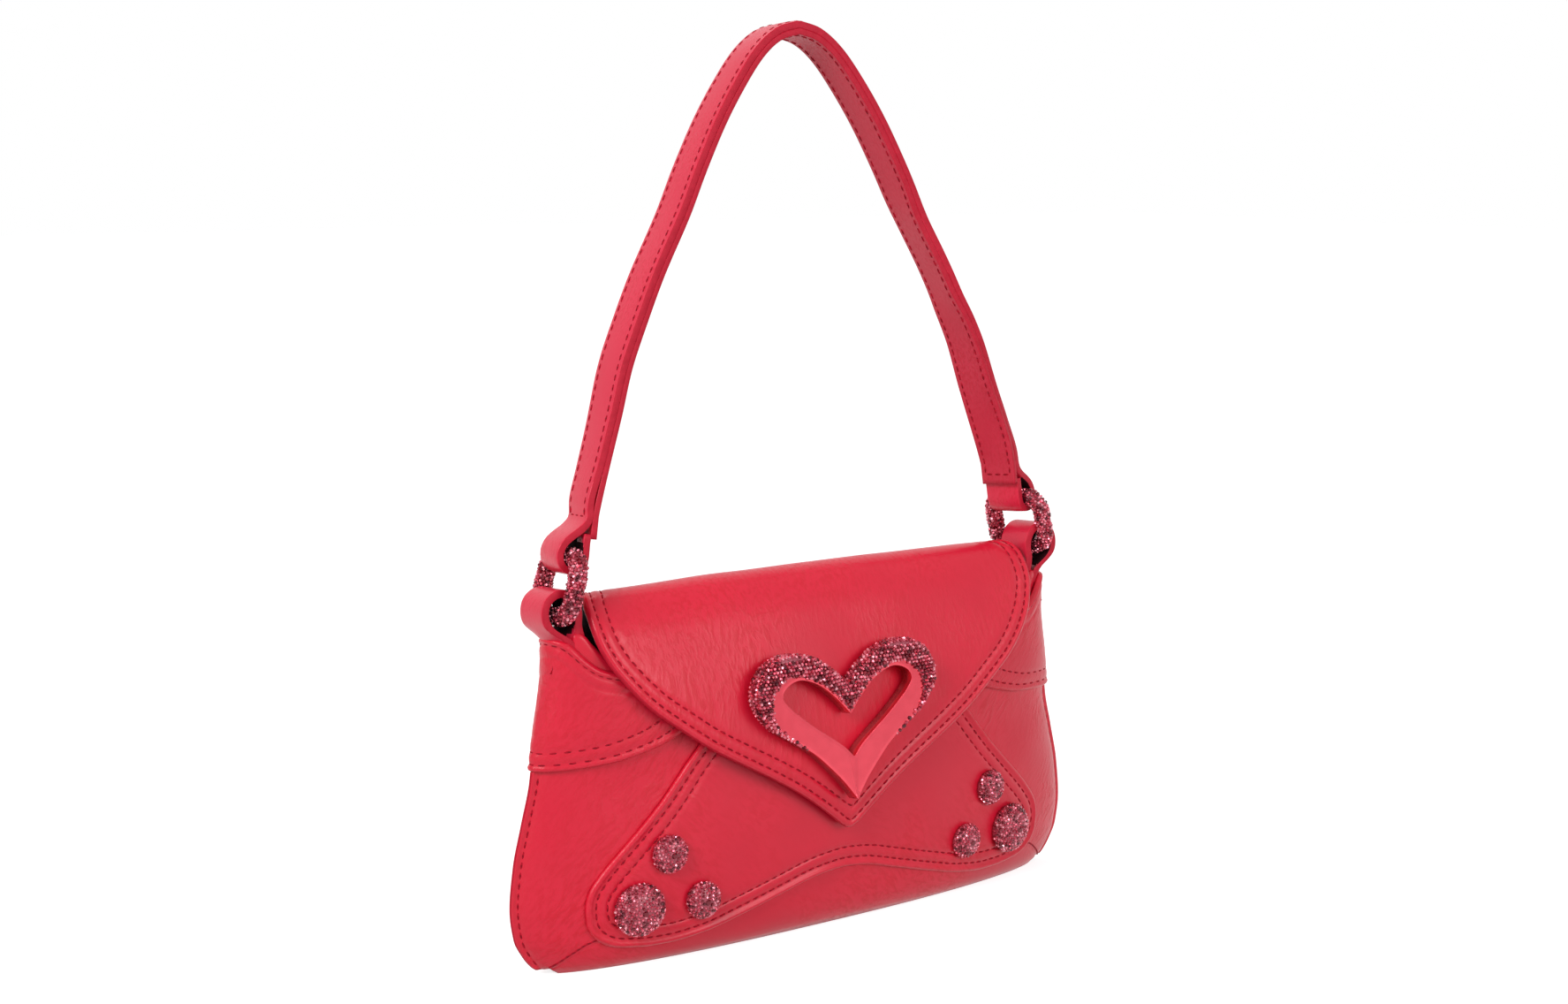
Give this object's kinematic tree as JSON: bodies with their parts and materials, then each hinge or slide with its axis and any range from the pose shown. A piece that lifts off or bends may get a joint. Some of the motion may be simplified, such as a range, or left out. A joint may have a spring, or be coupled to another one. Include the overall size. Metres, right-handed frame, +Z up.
{
  "type": "mini shoulder bag",
  "caption": "Small east-west leather shoulder bag with a pointed envelope flap, a crystal heart ornament, domed studs, crystal rings and a short strap.",
  "frame": {"origin": "centre of the flat base, on the surface that the bag stands on", "axes": "+X to the wearer's right as the front is looked at, +Y to the back, +Z up"},
  "size_m": [0.2554, 0.0547, 0.3285],
  "materials": {
    "red_leather": "glossy, finely crinkled",
    "black_textile": "plain weave",
    "board": "plain",
    "plated_steel": "plated",
    "red_enamel": "polished enamel",
    "red_crystal": "faceted crystals set close together"
  },
  "bodies": {
    "bag": {"front_panel": "red_leather", "back_panel": "red_leather", "bottom_panel": "red_leather", "front_overlay": "red_leather", "yoke_left": "red_leather", "yoke_right": "red_leather", "mouth_facing": "red_leather", "lining": "black_textile", "slip_pocket": "black_textile", "base_board": "board", "tab_tongue_left": "red_leather", "tab_tongue_right": "red_leather", "snap_socket": "plated_steel", "snap_socket_washer": "plated_steel", "stud_large_left": "red_crystal", "stud_large_right": "red_crystal", "stud_upper_left": "red_crystal", "stud_upper_right": "red_crystal", "stud_inner_left": "red_crystal", "stud_inner_right": "red_crystal", "stud_nut_large_left": "plated_steel", "stud_nut_large_right": "plated_steel", "stud_nut_upper_left": "plated_steel", "stud_nut_upper_right": "plated_steel", "stud_nut_inner_left": "plated_steel", "stud_nut_inner_right": "plated_steel"},
    "flap": {"flap_outer": "red_leather", "flap_filler": "board", "flap_lining": "black_textile", "snap_magnet": "plated_steel", "heart_frame": "red_enamel", "heart_crystal_bed": "red_crystal", "heart_screw_left": "plated_steel", "heart_screw_right": "plated_steel", "heart_screw_tip": "plated_steel"},
    "left_tab": {"tab_loop_left": "red_leather"},
    "right_tab": {"tab_loop_right": "red_leather"},
    "left_ring": {"ring_left": "red_crystal"},
    "right_ring": {"ring_right": "red_crystal"},
    "strap": {"strap_outer": "red_leather", "strap_tape": "black_textile", "strap_lining": "red_leather"}
  },
  "joints": [
    {"name": "flap_hinge", "type": "hinge", "parent": "bag", "child": "flap", "pos_m": [0, 0.01605, 0.10797], "axis": [1, 0, 0], "range_deg": [-150, 0]},
    {"name": "left_tab_tilt", "type": "hinge", "parent": "bag", "child": "left_tab", "pos_m": [-0.10901, 0, 0.11915], "axis": [1, 0, 0], "range_deg": [-15, 30]},
    {"name": "right_tab_tilt", "type": "hinge", "parent": "bag", "child": "right_tab", "pos_m": [0.10901, 0, 0.11915], "axis": [1, 0, 0], "range_deg": [-15, 30]},
    {"name": "left_ring_swing", "type": "hinge", "parent": "left_tab", "child": "left_ring", "pos_m": [-0.10901, 0.00048, 0.12613], "axis": [0, 0.9977, -0.068], "range_deg": [-10, 10]},
    {"name": "right_ring_swing", "type": "hinge", "parent": "right_tab", "child": "right_ring", "pos_m": [0.10901, 0.00048, 0.12613], "axis": [0, 0.9977, -0.068], "range_deg": [-10, 10]},
    {"name": "strap_sway", "type": "hinge", "parent": "left_ring", "child": "strap", "pos_m": [-0.10106, 0.00181, 0.14574], "axis": [0, 0.9977, -0.068], "range_deg": [-11, 11]}
  ],
  "couplings": [
    {"joint": "right_tab_tilt", "follows": "left_tab_tilt", "ratio": 1},
    {"joint": "right_ring_swing", "follows": "left_ring_swing", "ratio": 1},
    {"joint": "strap_sway", "follows": "left_ring_swing", "ratio": -1.0786}
  ]
}
